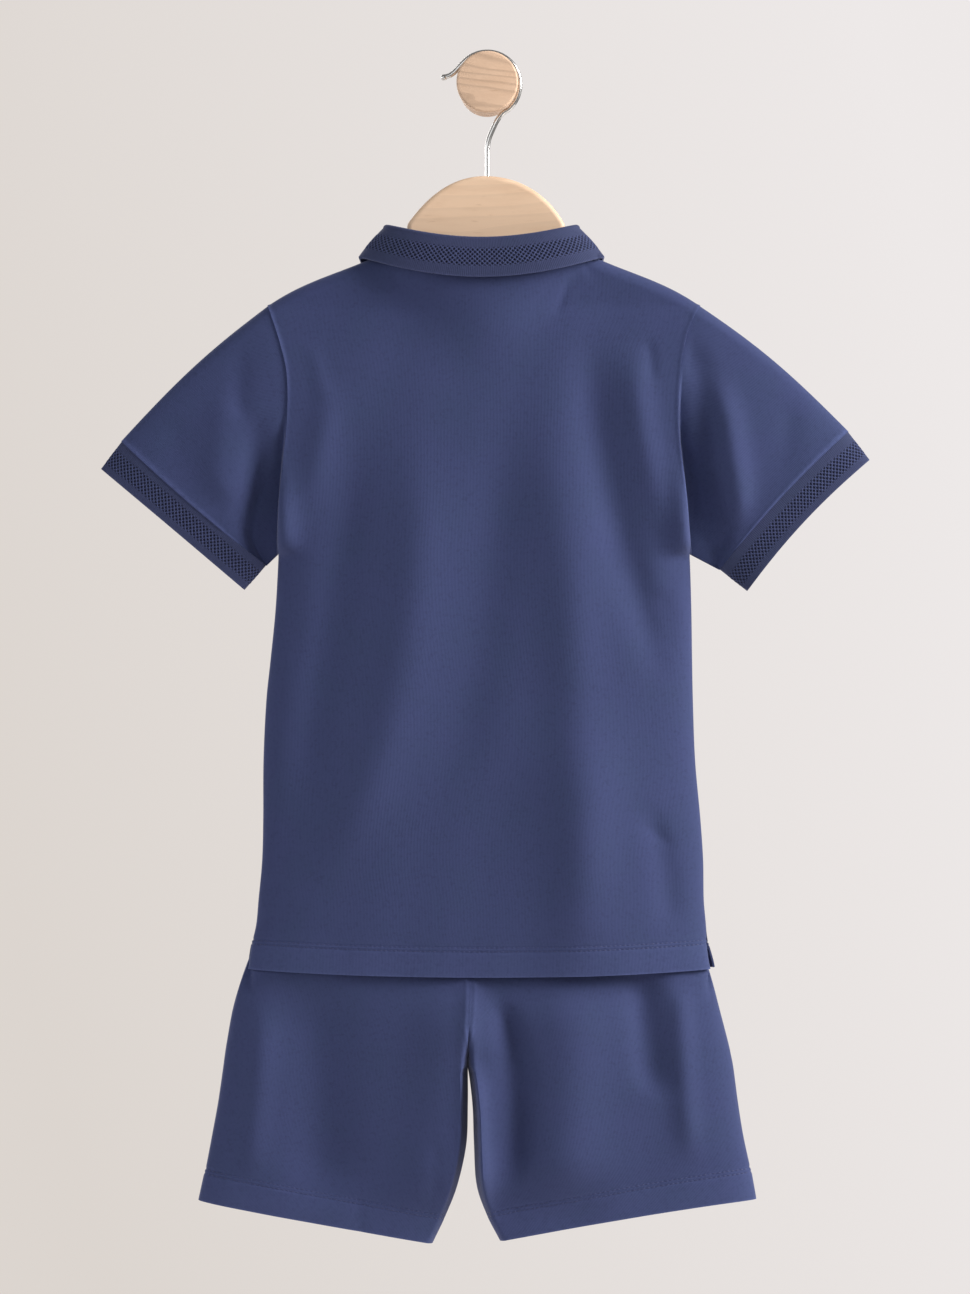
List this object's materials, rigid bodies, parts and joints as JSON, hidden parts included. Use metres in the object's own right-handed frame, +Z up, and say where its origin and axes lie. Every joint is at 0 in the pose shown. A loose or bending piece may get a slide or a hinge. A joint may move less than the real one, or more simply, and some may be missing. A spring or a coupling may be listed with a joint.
{
  "type": "polo shirt and shorts garment set on a wooden hanger and wall peg",
  "caption": "Child's navy polo shirt with matching shorts, hung on a wooden hanger from a round wall peg.",
  "frame": {"origin": "middle of the wall peg's flat back face, in the plane of the wall", "axes": "+Z up, +Y into the wall, +X to the viewer's right as the back of the clothes is seen from the room"},
  "size_m": [0.5061, 0.0625, 0.7867],
  "materials": {
    "jersey": "fine cotton pique knit, matt",
    "rib": "rib knit with an eyelet band, matt",
    "button": "polished resin",
    "wood": "smooth pale beech, satin",
    "steel": "bright wire"
  },
  "bodies": {
    "root": {"shirt_back": "jersey", "shirt_front": "jersey", "sleeve_left": "jersey", "sleeve_right": "jersey", "placket": "jersey", "shorts_back_left": "jersey", "shorts_back_right": "jersey", "shorts_front_left": "jersey", "shorts_front_right": "jersey", "shorts_waistband": "jersey", "cuff_left": "rib", "cuff_right": "rib", "collar": "rib", "button_1": "button", "button_2": "button", "button_3": "button", "hanger_body": "wood", "hanger_hook": "steel", "wall_peg": "wood"}
  },
  "joints": []
}
